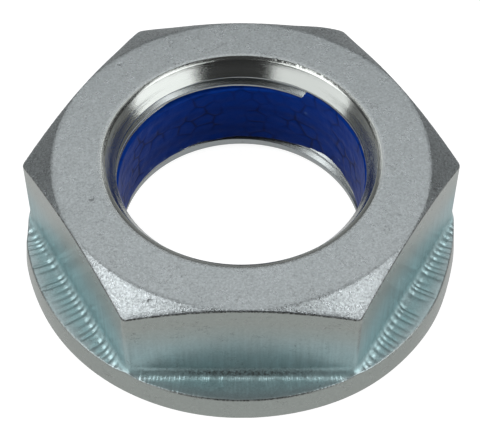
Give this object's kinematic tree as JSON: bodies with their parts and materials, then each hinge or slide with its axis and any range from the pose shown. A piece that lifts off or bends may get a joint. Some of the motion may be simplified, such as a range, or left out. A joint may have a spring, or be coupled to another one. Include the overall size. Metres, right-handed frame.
{
  "type": "hex flange lock nut",
  "caption": "Low hexagon lock nut on a round flange, zinc plated, with a blue nylon locking patch fused into its fine thread.",
  "frame": {"origin": "on the thread's axis, in the plane of the bearing face under the flange", "axes": "+Z along the thread's axis from the bearing face to the crown, +X through a corner of the hexagon, -Y square to one of its flats"},
  "size_m": [0.0544, 0.0544, 0.0157],
  "materials": {
    "zinc_plated_steel": "bright zinc plate with a fine matt grain and a faint blue-green cast",
    "blue_nylon": "fused nylon, satin, finely crazed"
  },
  "bodies": {
    "root": {"nut_body": "zinc_plated_steel", "nylon_patch": "blue_nylon"}
  },
  "joints": []
}
